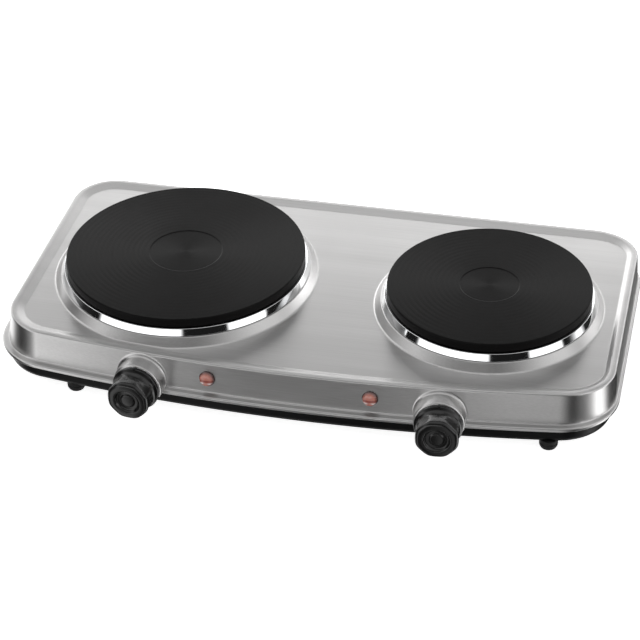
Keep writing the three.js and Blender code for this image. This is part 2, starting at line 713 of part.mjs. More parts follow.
function addMainsEntry() {
  const gland = addPart('cord_gland', cordGland(), blackPlastic);
  gland.position.set(GLAND_X, RIM_BACK - 1.4 + 3, GLAND_Z);
  const terminal = addPart('mains_terminal', mainsTerminal(), ceramic);
  terminal.position.set(GLAND_X, 70, PAN_FLOOR_TOP + GAP + 7);
  const clampZ = PAN_FLOOR_TOP + GAP + 2.5;
  addPart('cord_clamp', cordClamp(), blackPlastic).position.set(GLAND_X, CLAMP_Y, clampZ);
  for (const { side, sign } of SIDES) {
    const screw = addPart(`clamp_screw_${side}`, clampScrew(), zincSteel);
    screw.position.set(GLAND_X + sign * CLAMP_SCREW_X, CLAMP_Y, clampZ);
  }
  const tab = addPart('earth_tab', earthTab(), springBrass);
  tab.position.set(GLAND_X - 32, CLAMP_Y, PAN_FLOOR_TOP + GAP + 0.5);
}

function addLeads() {
  for (const { side } of SIDES) {
    addPart(`live_lead_${side}`, lead(LIVE_ROUTES[side]), leadBrown);
    addPart(`switched_lead_${side}`, lead(SWITCHED_ROUTES[side]), leadBrown);
    addPart(`neutral_lead_${side}`, lead(NEUTRAL_ROUTES[side]), leadBlue);
  }
  addPart('earth_lead', lead(EARTH_ROUTE), leadGreen);
}

addPart('top_housing', topHousing(), brushedSteel);
addPart('base_pan', basePan(), blackPaint);
PLATES.forEach(addCookingZone);
SIDES.forEach(addControl);
SIDES.forEach(addPilot);
addFeetAndScrews();
addMainsEntry();
addLeads();

// The origin goes to the middle of the depth, knobs included
const extent = new THREE.Box3().setFromObject(model, true);
model.position.y = -(extent.min.y + extent.max.y) / 2;

export default model;
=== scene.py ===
"""Hot plate burner: the finished visual model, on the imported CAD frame."""

import json
import math

import bpy
import numpy as np
from mathutils import Matrix, Vector
from mathutils.geometry import tessellate_polygon


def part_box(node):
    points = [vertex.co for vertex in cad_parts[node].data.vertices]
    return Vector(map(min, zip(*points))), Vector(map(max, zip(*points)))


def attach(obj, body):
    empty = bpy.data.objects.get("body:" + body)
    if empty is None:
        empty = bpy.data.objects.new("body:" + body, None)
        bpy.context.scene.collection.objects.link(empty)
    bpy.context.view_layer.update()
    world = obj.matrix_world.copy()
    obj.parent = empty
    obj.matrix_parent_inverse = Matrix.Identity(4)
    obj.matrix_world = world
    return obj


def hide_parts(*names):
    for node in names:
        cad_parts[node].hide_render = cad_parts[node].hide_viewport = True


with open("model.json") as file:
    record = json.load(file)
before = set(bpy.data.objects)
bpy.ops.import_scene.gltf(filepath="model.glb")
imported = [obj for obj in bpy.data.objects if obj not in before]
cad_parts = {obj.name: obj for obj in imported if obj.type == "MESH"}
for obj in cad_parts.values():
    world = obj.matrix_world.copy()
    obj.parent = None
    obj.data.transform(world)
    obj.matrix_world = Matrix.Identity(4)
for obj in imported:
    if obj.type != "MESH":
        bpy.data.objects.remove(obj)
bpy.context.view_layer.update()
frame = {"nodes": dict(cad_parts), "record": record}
NODES = frame["nodes"]

MM = 0.001
ZONE_LOW, ZONE_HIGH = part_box("cooking_plate_left")
HOUSING_Y = (ZONE_LOW.y + ZONE_HIGH.y) / 2
HOUSING = Matrix.Translation((0, HOUSING_Y, 0))

# Millimetres, in the housing's own frame: X 0 at the middle, Y 0 on the line through both plates.
# A section is a list of (distance outward, height, corner radius).
RIM_HALF_WIDTH = 228
RIM_BACK = 116.5
RIM_FRONT = 118
BOW_RADIUS = 1340
BOW_CENTRE = BOW_RADIUS - RIM_FRONT
FRONT_CORNER = 38
BACK_CORNER = 33
FLANGE_BOTTOM = 20.9
FLANGE_TOP = 23.8
HEM = 20.95
FIELD = 46.2
RIM_TOP = 48.7
COLLAR_TOP = 52.7
COLLAR_FOOT = 10.9
COLLAR_SHOULDER = 4.4
FIELD_EDGE = 11.45
PLATE_TOP = 65.7
PLATE_SEGMENTS = 256
# x of the centre, radius, and radius of the spot in the middle
PLATES = {"left": (-108.5, 92.5, 28), "right": (128.8, 77.5, 22.4)}
SIDES = {"left": -1, "right": 1}
# The right knob's seat: x, y and z
KNOB = (113, -127.5, 27.2)
KNOB_SPLAY = math.radians(5.5)
BOSS_RADIUS = 18.7
# The right lens: x and z
LENS = (61, 36.2)
LENS_TILT = math.atan(2.8 / 21.3)
PAN_BOTTOM = 8.3
PAN_TOP = 21.8
VENTS = 7
VENT_PITCH = 14
VENT_HALF_WIDTH = 2.4
VENT_HALF_LENGTH = 30


# ---------------------------------------------------------------- mesh helpers


def unit(v):
    return v / np.linalg.norm(v)


def turn(v, angle):
    c, s = math.cos(angle), math.sin(angle)
    return np.array([c * v[0] - s * v[1], s * v[0] + c * v[1]])


def rounded(corners, steps=7):
    """Points and unit tangents of a polyline of (a, b, radius) corners, each rounded to its radius.

    A corner with no radius is a crease.
    """
    points = [np.array(c[:2], float) for c in corners]
    last = len(points) - 1
    out = []
    for i, corner in enumerate(corners):
        p = points[i]
        if i == 0:
            out.append((p, unit(points[1] - p)))
            continue
        before = unit(p - points[i - 1])
        if i == last:
            out.append((p, before))
            continue
        after = unit(points[i + 1] - p)
        radius = corner[2] if len(corner) > 2 else 0
        angle = math.atan2(before[0] * after[1] - before[1] * after[0], before @ after)
        if radius == 0 or abs(angle) < 1e-4:
            out.append((p, before))
            out.append((p, after))
            continue
        room = np.linalg.norm(p - points[i - 1]) * (1 if i == 1 else 0.5)
        room = min(room, np.linalg.norm(points[i + 1] - p) * (1 if i == last - 1 else 0.5))
        trim = min(radius * math.tan(abs(angle) / 2), room)
        radius = trim / math.tan(abs(angle) / 2)
        side = np.array([-before[1], before[0]]) * math.copysign(1, angle)
        centre = p - before * trim + side * radius
        for k in range(steps + 1):
            swing = angle * k / steps
            out.append((centre - turn(side, swing) * radius, turn(before, swing)))
    return out


def circle(count):
    """A sweep outline with all its points at the middle, so that offsets are radii."""
    angles = np.arange(count) * 2 * math.pi / count
    ring = np.stack([np.cos(angles), np.sin(angles)], 1)
    return np.zeros((count, 2)), ring


def sweep(outline, profile, first=0, inside=False, right=None):
    """Carries a profile of ((offset, height), tangent) round a plan outline of (points, normals).

    Returns vertices, vertex normals, faces and the first index of each ring. A second profile, with as many
    points, takes over on the right side.
    """
    base, normals = outline
    count = len(normals)
    sign = -1 if inside else 1
    vertices, directions, rings = [], [], []
    share = np.maximum(0, normals[:, :1]) ** 2
    for i, ((offset, height), (along, rise)) in enumerate(profile):
        rings.append(first + len(vertices))
        pole = abs(offset) < 1e-6 and not base.any()
        if pole:
            vertices.append((0, 0, height))
            directions.append((0, 0, -sign * along))
            continue
        if right:
            ring = base + normals * (offset + (right[i][0][0] - offset) * share)
            slope = (1 - share) * (along, rise) + share * right[i][1]
        else:
            ring = base + normals * offset
            slope = np.tile((along, rise), (count, 1))
        for (x, y), (nx, ny), (a, b) in zip(ring, normals, slope):
            vertices.append((x, y, height))
            directions.append((sign * nx * b, sign * ny * b, -sign * a))
    ends = rings[1:] + [first + len(vertices)]
    faces = []
    for i in range(len(rings) - 1):
        a, b = rings[i], rings[i + 1]
        wide_a, wide_b = ends[i] - a > 1, ends[i + 1] - b > 1
        if np.allclose(profile[i][0], profile[i + 1][0], atol=1e-6):
            continue
        for j in range(count):
            k = (j + 1) % count
            if wide_a and wide_b:
                face = (a + j, a + k, b + k, b + j)
            elif wide_a:
                face = (a + j, a + k, b)
            else:
                face = (a, b + k, b + j)
            faces.append(face[::-1] if inside else face)
    return vertices, directions, faces, rings


def fill(loops, first_indices, vertices, downward=False):
    """Triangles of a flat region between its outer loop and its holes.

    first_indices says where in vertices each loop starts.
    """
    counts = [len(loop) for loop in loops]
    index = [f + i for f, n in zip(first_indices, counts) for i in range(n)]
    flat = [[Vector((x, y, 0)) for x, y in loop] for loop in loops]
    faces = []
    for triangle in tessellate_polygon(flat):
        a, b, c = (index[i] for i in triangle)
        (ax, ay), (bx, by), (cx, cy) = (vertices[i][:2] for i in (a, b, c))
        area = (bx - ax) * (cy - ay) - (by - ay) * (cx - ax)
        if abs(area) < 1e-9:
            continue
        faces.append((a, b, c) if (area > 0) != downward else (c, b, a))
    return faces


def add_mesh(name, vertices, faces, material, normals=None, matrix=HOUSING, body="root"):
    mesh = bpy.data.meshes.new(name)
    mesh.from_pydata((np.asarray(vertices, float) * MM).tolist(), [], [tuple(f) for f in faces])
    mesh.polygons.foreach_set("use_smooth", [True] * len(mesh.polygons))
    if normals is not None:
        mesh.normals_split_custom_set_from_vertices([tuple(unit(np.array(n, float))) for n in normals])
    mesh.materials.append(material)
    mesh.validate()
    obj = bpy.data.objects.new(name, mesh)
    bpy.context.scene.collection.objects.link(obj)
    obj.matrix_world = matrix
    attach(obj, body)
    return obj


def add_turned(name, corners, material, matrix, body="root", segments=96, steps=6):
    vertices, normals, faces, _ = sweep(circle(segments), rounded(corners, steps))
    return add_mesh(name, vertices, faces, material, normals, matrix, body)


def arc(cx, cy, radius, start, end, count, skip_first=False):
    angles = np.linspace(start, end, count + 1)[1 if skip_first else 0:]
    normals = np.stack([np.cos(angles), np.sin(angles)], 1)
    return np.array([cx, cy]) + normals * radius, normals


def rim_outline():
    """Points and outward normals of the rim's outer edge, anticlockwise from the front left."""
    front_x = RIM_HALF_WIDTH - FRONT_CORNER
    reach = BOW_RADIUS - FRONT_CORNER
    front_y = BOW_CENTRE - math.sqrt(reach**2 - front_x**2)
    half = math.asin(front_x / reach)
    back_x = RIM_HALF_WIDTH - BACK_CORNER
    back_y = RIM_BACK - BACK_CORNER
    down = -math.pi / 2
    pieces = [
        arc(0, BOW_CENTRE, BOW_RADIUS, down - half, down + half, 110),
        arc(front_x, front_y, FRONT_CORNER, down + half, 0, 28, True),
        straight((RIM_HALF_WIDTH, front_y), (RIM_HALF_WIDTH, back_y), (1, 0), 24),
        arc(back_x, back_y, BACK_CORNER, 0, math.pi / 2, 26),
        straight((back_x, RIM_BACK), (-back_x, RIM_BACK), (0, 1), 60),
        arc(-back_x, back_y, BACK_CORNER, math.pi / 2, math.pi, 26),
        straight((-RIM_HALF_WIDTH, back_y), (-RIM_HALF_WIDTH, front_y), (-1, 0), 24),
        arc(-front_x, front_y, FRONT_CORNER, math.pi, down - half + 2 * math.pi, 28),
    ]
    points = np.concatenate([p for p, _ in pieces])[:-1]
    normals = np.concatenate([n for _, n in pieces])[:-1]
    return points, normals


def straight(start, end, normal, count):
    """The points between two corners of the outline, without its ends."""
    steps = np.linspace(0, 1, count + 1)[1:-1, None]
    points = np.array(start) * (1 - steps) + np.array(end) * steps
    return points, np.tile(np.array(normal, float), (len(points), 1))


def fitting_matrix(x, y, z, splay, tilt=0.0):
    """A turned fitting's frame: its own Z points outward along its axis, and its own Y points up."""
    frame_turn = Matrix.Rotation(splay, 4, "Z") @ Matrix.Rotation(math.pi / 2 - tilt, 4, "X")
    return Matrix.Translation((x * MM, y * MM + HOUSING_Y, z * MM)) @ frame_turn


# ---------------------------------------------------------------- materials


class Tree:
    """A material's node tree, with short ways to add the nodes that every finish here is made of."""

    def __init__(self, name, colour, roughness, metallic=0.0, **constants):
        self.material = bpy.data.materials.new(name)
        self.material.use_nodes = True
        self.tree = self.material.node_tree
        self.shader = self.tree.nodes["Principled BSDF"]
        self.shader.inputs["Base Color"].default_value = (*colour, 1)
        self.shader.inputs["Roughness"].default_value = roughness
        self.shader.inputs["Metallic"].default_value = metallic
        for socket, value in constants.items():
            self.shader.inputs[socket.replace("_", " ")].default_value = value
        self.coords = self.node("ShaderNodeTexCoord").outputs["Object"]
        self.heights = []

    def node(self, kind, **settings):
        made = self.tree.nodes.new(kind)
        for key, value in settings.items():
            setattr(made, key, value)
        return made

    def link(self, source, target):
        if isinstance(source, (int, float)):
            target.default_value = source
        elif isinstance(source, tuple):
            target.default_value = source
        else:
            self.tree.links.new(source, target)

    def math(self, operation, *values, clamp=False):
        made = self.node("ShaderNodeMath", operation=operation, use_clamp=clamp)
        for value, socket in zip(values, made.inputs):
            self.link(value, socket)
        return made.outputs[0]

    def vector(self, operation, *values):
        made = self.node("ShaderNodeVectorMath", operation=operation)
        for value, socket in zip(values, made.inputs):
            self.link(value, socket)
        return made.outputs["Value" if operation in ("LENGTH", "DOT_PRODUCT") else "Vector"]

    def noise(self, scale, detail=2.0, roughness=0.5, coords=None):
        """Noise from 0 to 1, with its own scale along each axis in cells per metre."""
        scale = scale if isinstance(scale, tuple) else (scale, scale, scale)
        made = self.node("ShaderNodeTexNoise")
        made.inputs["Scale"].default_value = 1
        made.inputs["Detail"].default_value = detail
        made.inputs["Roughness"].default_value = roughness
        self.link(self.vector("MULTIPLY", coords or self.coords, scale), made.inputs["Vector"])
        return made.outputs["Fac"]

    def waves(self, value, pitch):
        """A sine that repeats every pitch metres."""
        return self.math("SINE", self.math("MULTIPLY", value, 2 * math.pi / pitch))

    def between(self, value, low, high, start=0.0, end=1.0):
        """Carries start to end over to low to high, and stops there."""
        made = self.node("ShaderNodeMapRange")
        self.link(value, made.inputs["Value"])
        for socket, number in zip(("From Min", "From Max", "To Min", "To Max"), (start, end, low, high)):
            made.inputs[socket].default_value = number
        return made.outputs["Result"]

    def mix(self, factor, low, high):
        made = self.node("ShaderNodeMix", data_type="RGBA")
        self.link(factor, made.inputs["Factor"])
        colours = [s for s in made.inputs if s.type == "RGBA"]
        for source, socket in zip((low, high), colours):
            self.link((*source, 1) if isinstance(source, tuple) else source, socket)
        return [s for s in made.outputs if s.type == "RGBA"][0]

    def colour(self, source):
        self.link(source, self.shader.inputs["Base Color"])

    def roughness(self, source):
        self.link(source, self.shader.inputs["Roughness"])

    def bump(self, height, distance):
        """Adds a height, in metres for its full range of 0 to 1, to the surface."""
        made = self.node("ShaderNodeBump")
        made.inputs["Strength"].default_value = 1.0
        made.inputs["Distance"].default_value = distance
        self.link(height, made.inputs["Height"])
        if self.heights:
            self.link(self.heights[-1], made.inputs["Normal"])
        self.heights.append(made.outputs["Normal"])
        self.link(made.outputs["Normal"], self.shader.inputs["Normal"])


def brushed_steel():
    """Cold rolled steel, brushed along X and folded down at the sides."""
    t = Tree("brushed_steel", (0.6, 0.595, 0.585), 0.3, 1.0, Anisotropic=0.8)
    normal = t.node("ShaderNodeNewGeometry").outputs["Normal"]
    t.link(t.vector("CROSS_PRODUCT", normal, (1, 0, 0.03)), t.shader.inputs["Tangent"])
    facing = t.node("ShaderNodeSeparateXYZ")
    t.link(normal, facing.inputs[0])
    on_side = t.between(t.math("ABSOLUTE", facing.outputs["X"]), 0, 1, 0.6, 0.8)
    along = t.noise((9, 2600, 2600), 4, 0.6)
    down = t.noise((2600, 2600, 9), 4, 0.6)
    on_top = t.math("SUBTRACT", 1.0, on_side)
    grain = t.math("ADD", t.math("MULTIPLY", along, on_top), t.math("MULTIPLY", down, on_side))
    broad = t.noise((4, 60, 60), 2)
    cloud = t.noise(14, 3, 0.55)
    shade = t.math("ADD", t.math("MULTIPLY", grain, 0.7), t.math("MULTIPLY", broad, 0.3))
    t.colour(t.mix(t.between(shade, 0, 1, 0.34, 0.66), (0.535, 0.53, 0.527), (0.64, 0.635, 0.632)))
    rough = t.math("ADD", t.between(grain, 0.29, 0.34, 0.3, 0.7), t.between(cloud, -0.015, 0.015, 0.3, 0.7))
    t.roughness(rough)
    t.bump(grain, 0.000005)
    return t.material


def chrome():
    t = Tree("chrome", (0.86, 0.87, 0.88), 0.05, 1.0)
    haze = t.noise(90, 3)
    wipe = t.noise((40, 900, 900), 3)
    t.colour(t.mix(haze, (0.82, 0.83, 0.84), (0.9, 0.905, 0.91)))
    t.roughness(t.math("ADD", t.between(haze, 0.03, 0.06), t.between(wipe, 0, 0.03)))
    t.bump(t.noise(35, 1), 0.00002)
    return t.material


def cast_iron(name, spot_radius):
    """Black-lacquered cast iron, its top turned in fine rings about the plate's own axis. Its colour carries
    painted shading: faint rings 4.1 mm apart, strongest in patches drawn out along Y.
    """
    t = Tree(name, (0.012, 0.0115, 0.0115), 0.45, 0.0, Specular_IOR_Level=0.1, Anisotropic=0.6)
    flat = t.vector("MULTIPLY", t.coords, (1, 1, 0))
    t.link(t.vector("NORMALIZE", flat), t.shader.inputs["Tangent"])
    radius = t.vector("LENGTH", flat)
    fine = t.waves(radius, 0.00105)
    # Painted shading: the 4.1 mm rings, in patches drawn out along Y, lighten and darken the colour to stand
    # for light shimmering across the turned rings; in roughness and bump they are the real tool marks
    coarse = t.waves(radius, 0.0041)
    ringed = t.between(radius, 0, 1, spot_radius * MM, (spot_radius + 1) * MM)
    patches = t.noise(22, 2, coords=t.vector("MULTIPLY", t.coords, (1, 0.35, 1)))
    ring_shading_patches = t.between(patches, 0.15, 1.0, 0.35, 0.65)
    tool_rings_and_shading = t.math("MULTIPLY", t.math("MULTIPLY", coarse, ringed), ring_shading_patches)
    sand = t.noise(1500, 3, 0.6)
    bloom = t.noise(18, 3)
    tone = t.math("ADD", t.between(tool_rings_and_shading, -0.3, 0.3, -1, 1), t.between(sand, -0.2, 0.2, 0.3, 0.7))
    tone = t.math("ADD", tone, t.between(bloom, 0.3, 0.7, 0.3, 0.7))
    t.colour(t.mix(tone, (0.0022, 0.0021, 0.0022), (0.0062, 0.0058, 0.0057)))
    rough = t.math("ADD", t.between(bloom, 0.42, 0.5, 0.3, 0.7), t.between(tool_rings_and_shading, -0.02, 0.02, -1, 1))
    t.roughness(rough)
    t.bump(fine, 0.000014)
    t.bump(tool_rings_and_shading, 0.000025)
    t.bump(sand, 0.00003)
    return t.material


def moulded(name, colour, roughness, grain, depth, metallic=0.0, spread=0.35, **constants):
    """A moulded, painted or pressed finish: a fine grain in height, and slow changes in colour and gloss."""
    t = Tree(name, colour, roughness, metallic, **constants)
    slow = t.noise(30, 3)
    fine = t.noise(grain, 3, 0.6)
    dark = tuple(c * (1 - spread) for c in colour)
    light = tuple(min(1, c * (1 + spread)) for c in colour)
    blend = t.math("ADD", t.math("MULTIPLY", slow, 0.6), t.math("MULTIPLY", fine, 0.4))
    t.colour(t.mix(t.between(blend, 0, 1, 0.3, 0.7), dark, light))
    t.roughness(t.between(slow, roughness * 0.85, min(1, roughness * 1.15), 0.3, 0.7))
    t.bump(fine, depth)
    return t.material


def lens_red():
    """Moulded red lens, milky where the lamp sits behind it, with a darker level band just below the middle.
    Its edge is painted dark as shade, and two painted highlights sit low at either side.
    """
    t = Tree("red_lens", (0.6, 0.16, 0.13), 0.12, 0.0, Coat_Weight=0.6, Coat_Roughness=0.05)
    parts = t.node("ShaderNodeSeparateXYZ")
    t.link(t.coords, parts.inputs[0])
    radius = t.vector("LENGTH", t.vector("MULTIPLY", t.coords, (1, 1, 0)))
    height = parts.outputs["Y"]

    def stripe(below, start, end):
        """1 within start metres of a level line that lies below the middle, and 0 past end."""
        distance = t.math("ABSOLUTE", t.math("ADD", height, below))
        return t.math("SUBTRACT", 1.0, t.between(distance, 0, 1, start, end), clamp=True)

    band = stripe(0.0004, 0.0004, 0.0013)
    # Painted shade: the lens's edge, from 4.2 mm out, is painted dark for the shadow in the gap round it
    painted_rim_shade = t.between(radius, 0, 1, 0.0042, 0.0058)
    cloudy = t.noise(700, 3)
    milky = t.mix(cloudy, (0.62, 0.22, 0.17), (0.75, 0.33, 0.27))
    lined = t.mix(t.math("MULTIPLY", band, 0.75), milky, (0.33, 0.07, 0.055))
    # Painted highlight: two pale spots low on the lens, one at either side, are reflections of the lamps
    # painted into the colour
    painted_highlight_stripe = stripe(0.0024, 0.0003, 0.0011)
    ends = t.between(t.math("ABSOLUTE", parts.outputs["X"]), 0.15, 1, 0.0008, 0.0024)
    with_painted_highlights = t.mix(t.math("MULTIPLY", painted_highlight_stripe, ends), lined, (1.0, 0.82, 0.8))
    t.colour(t.mix(painted_rim_shade, with_painted_highlights, (0.05, 0.012, 0.01)))
    t.roughness(t.between(cloudy, 0.1, 0.17))
    t.shader.inputs["Subsurface Weight"].default_value = 0.25
    t.shader.inputs["Subsurface Radius"].default_value = (0.002, 0.0008, 0.0006)
    t.bump(t.waves(parts.outputs["X"], 0.0009), 0.00001)
    return t.material


STEEL = brushed_steel()
CHROME = chrome()
IRON = {side: cast_iron(f"cast_iron_{side}", spot) for side, (_, _, spot) in PLATES.items()}
PLASTIC = moulded(
    "black_plastic", (0.0045, 0.0043, 0.0044), 0.26, 900, 0.000012, Coat_Weight=0.2, Coat_Roughness=0.12
)
PAINT = moulded("black_paint", (0.003, 0.003, 0.0032), 0.34, 420, 0.00003, Specular_IOR_Level=0.12)
RUBBER = moulded("rubber", (0.012, 0.012, 0.012), 0.7, 1300, 0.00005)
RED = lens_red()
FINISHES = {
    "element_sheath": moulded("element_sheath", (0.09, 0.08, 0.07), 0.55, 800, 0.00004, 0.8),
    "zinc_steel": moulded("zinc_steel", (0.55, 0.56, 0.54), 0.4, 500, 0.00002, 1.0, 0.2),
    "aluminium_sheet": moulded("aluminium_sheet", (0.7, 0.71, 0.72), 0.32, 260, 0.00003, 1.0, 0.12),
    "ceramic": moulded("ceramic", (0.78, 0.73, 0.62), 0.65, 900, 0.00004, 0.0, 0.1),
    "lamp_glass": moulded(
        "lamp_glass", (0.8, 0.62, 0.5), 0.06, 300, 0.00001, 0.0, 0.15, Transmission_Weight=0.6
    ),
    "spring_brass": moulded("spring_brass", (0.62, 0.43, 0.16), 0.34, 600, 0.00002, 1.0, 0.15),
    "lead_brown": moulded("lead_brown", (0.13, 0.045, 0.02), 0.5, 700, 0.00003, 0.0, 0.2),
    "lead_blue": moulded("lead_blue", (0.03, 0.09, 0.34), 0.5, 700, 0.00003, 0.0, 0.2),
    "lead_green": moulded("lead_green", (0.1, 0.32, 0.05), 0.5, 700, 0.00003, 0.0, 0.2),
    "brushed_steel": STEEL,
    "chrome": CHROME,
    "cast_iron": IRON["left"],
    "black_plastic": PLASTIC,
    "black_paint": PAINT,
    "rubber": RUBBER,
    "red_lens": RED,
}
# Every CAD piece wears the finish of its slot, those that get a visual piece of their own included
for entry in frame["record"]["subparts"]:
    cad_mesh = NODES[entry["node"]].data
    cad_mesh.materials.clear()
    cad_mesh.materials.append(FINISHES[entry["material_slot"]])


# ---------------------------------------------------------------- housing

HOUSING_PROFILE = [
    (7.0, 22.6), (7.3, HEM, 0.3), (8.5, HEM, 0.5), (8.45, FLANGE_TOP, 1.8), (3.15, 24.1, 1.3),
    (-0.05, RIM_TOP, 1.7), (-4.2, RIM_TOP, 9), (-10.6, FIELD, 4), (-FIELD_EDGE, FIELD),
]
# On the right the wall and rim stand further out, over a narrower flange
RIGHT_PROFILE = [
    (7.0, 22.6), (7.3, HEM, 0.3), (8.5, HEM, 0.5), (8.45, FLANGE_TOP, 0.9), (6.15, 24.1, 0.9),
    (4.55, RIM_TOP, 1.7), (0.4, RIM_TOP, 7), (-3.9, FIELD, 4), (-4.7, FIELD),
]


def collar_profile(radius):
    shoulder = radius + COLLAR_SHOULDER
    return [
        (radius + COLLAR_FOOT, FIELD), (radius + COLLAR_FOOT - 1.3, FIELD, 3), (shoulder, COLLAR_TOP, 1.3),
        (radius - 2.5, COLLAR_TOP, 0.6), (radius - 2.6, COLLAR_TOP - 3),
    ]


def room_to_edge(x, angles):
    """From a plate's centre, how far the flat field reaches before the rim's slope begins."""
    ahead = x * np.cos(angles) - BOW_CENTRE * np.sin(angles)
    return -ahead + np.sqrt(ahead**2 - x**2 - BOW_CENTRE**2 + (BOW_RADIUS - FIELD_EDGE) ** 2)


def add_housing():
    outline = rim_outline()
    profile = rounded(HOUSING_PROFILE)
    vertices, normals, faces, rings = sweep(outline, profile, right=rounded(RIGHT_PROFILE))
    loops = [[v[:2] for v in vertices[rings[-1]:]]]
    starts = [rings[-1]]
    for x, radius, _ in PLATES.values():
        first = len(vertices)
        part = sweep(circle(PLATE_SEGMENTS), rounded(collar_profile(radius), 8), first)
        shoulder, foot = radius + COLLAR_SHOULDER, radius + COLLAR_FOOT
        for vx, vy, vz in part[0]:
            reach = math.hypot(vx, vy)
            allowed = min(foot, room_to_edge(x, math.atan2(vy, vx)) - 0.3)
            pulled = reach
            if reach > shoulder:
                pulled = shoulder + (reach - shoulder) * (allowed - shoulder) / (foot - shoulder)
            vertices.append((x + vx * pulled / reach, vy * pulled / reach, vz))
        normals += part[1]
        faces += part[2]
        loops.append([v[:2] for v in vertices[first:first + PLATE_SEGMENTS]])
        starts.append(first)
    faces += fill(loops, starts, vertices)
    housing = add_mesh("housing_shell", vertices, faces, STEEL, normals)
    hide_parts("top_housing")


def wall_offset(z):
    """How far outside the rim's edge the front wall and the flange stand, at a height."""
    return np.interp(z, [FLANGE_BOTTOM, 23.6, 24.6, 25.2, RIM_TOP], [8.3, 8.3, 3.4, 3.0, 0.0])


def add_boss(side, sign):
    """The pressed hood round a knob: a drum filleted into the bowed front wall, cut off at the flange."""
    matrix = fitting_matrix(sign * KNOB[0], KNOB[1], KNOB[2], sign * KNOB_SPLAY)
    count, steps = 160, 10
    angles = np.arange(count) * 2 * math.pi / count
    centre = np.array([0, BOW_CENTRE])
    outward = np.array([sign * math.sin(KNOB_SPLAY), -math.cos(KNOB_SPLAY)])
    across = np.array([math.cos(sign * KNOB_SPLAY), math.sin(sign * KNOB_SPLAY)])

    def wall_distance(radius):
        z = KNOB[2] + radius * np.sin(angles)
        start = np.array([sign * KNOB[0], KNOB[1]]) + np.outer(radius * np.cos(angles), across) - centre
        along = start @ outward
        reach = BOW_RADIUS + wall_offset(z)
        return -along + np.sqrt(along**2 - (start**2).sum(1) + reach**2)

    height = KNOB[2] + BOSS_RADIUS * np.sin(angles)
    fillet = np.interp(height, [23.5, 30, 40], [0.3, 2.0, 2.6])
    rings = []
    for k in range(steps + 1):
        swing = math.pi / 2 * k / steps
        radius = BOSS_RADIUS + fillet * (1 - math.sin(swing))
        distance = wall_distance(radius) + fillet * (1 - math.cos(swing)) - 0.05
        rings.append((radius, distance))
    mouth = BOSS_RADIUS - 4
    drum = [(BOSS_RADIUS, -4.5), (BOSS_RADIUS, -0.5, 1.6), (mouth, -0.5), (mouth, -3)]
    for (radius, distance), _ in rounded(drum, 7)[1:]:
        rings.append((np.full(count, radius), np.full(count, distance)))
    vertices, faces = [], []
    floor = FLANGE_BOTTOM + 0.1 - KNOB[2]
    for radius, distance in rings:
        for x, y, d in zip(radius * np.cos(angles), radius * np.sin(angles), distance):
            vertices.append((x, max(y, floor), d))
    for i in range(len(rings) - 1):
        for j in range(count):
            k = (j + 1) % count
            faces.append((i * count + j, i * count + k, (i + 1) * count + k, (i + 1) * count + j))
    add_mesh(f"knob_boss_{side}", vertices, faces, STEEL, None, matrix)


# ---------------------------------------------------------------- cooking plates


def add_plate(side, x, radius, spot):
    matrix = Matrix.Translation((x * MM, HOUSING_Y, 0))
    step = 0.35
    corners = [
        (0, 60.6), (11, 60.3, 1), (radius - 10, 60.3, 1), (radius - 9, 51.5, 0.3), (radius - 6.1, 51.5, 0.4),
        (radius - 6.1, 58.75, 0.5), (radius - 0.7, 58.75, 0.5), (radius, 59.5, 0.6), (radius, PLATE_TOP, 1.1),
        (spot + 0.6, PLATE_TOP, 0.3), (spot - 0.3, PLATE_TOP - step, 0.3), (0, PLATE_TOP - step),
    ]
    plate = add_turned(f"plate_{side}", corners, IRON[side], matrix, "root", PLATE_SEGMENTS)
    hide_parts(f"cooking_plate_{side}")
    ring = [
        (radius - 5, 57.7), (radius + 0.7, 57.7, 0.3),
        (radius + 3.1, COLLAR_TOP + 0.35, 0.2), (radius + 4.1, COLLAR_TOP + 0.35, 0.3),
        (radius + 1.7, 58.38, 0.5), (radius - 5, 58.38),
    ]
    trim = add_turned(f"chrome_ring_{side}", ring, CHROME, matrix, "root", PLATE_SEGMENTS, 8)
    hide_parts(f"trim_ring_{side}")


# ---------------------------------------------------------------- knobs and lenses

FACETS = 8
RIDGE_SHARPNESS = 14


def facet_radius(angles, amount):
    """How far a grip of facets with soft ridges reaches, as a share of its ridges. Amount 0 is round."""
    facings = [(k + 0.5) * 2 * math.pi / FACETS for k in range(FACETS // 2)]
    powered = sum(np.abs(np.cos(angles - facing)) ** RIDGE_SHARPNESS for facing in facings)
    faceted = powered ** (-1 / RIDGE_SHARPNESS) * math.cos(math.pi / FACETS)
    return 1 + amount * (faceted / faceted.max() - 1)


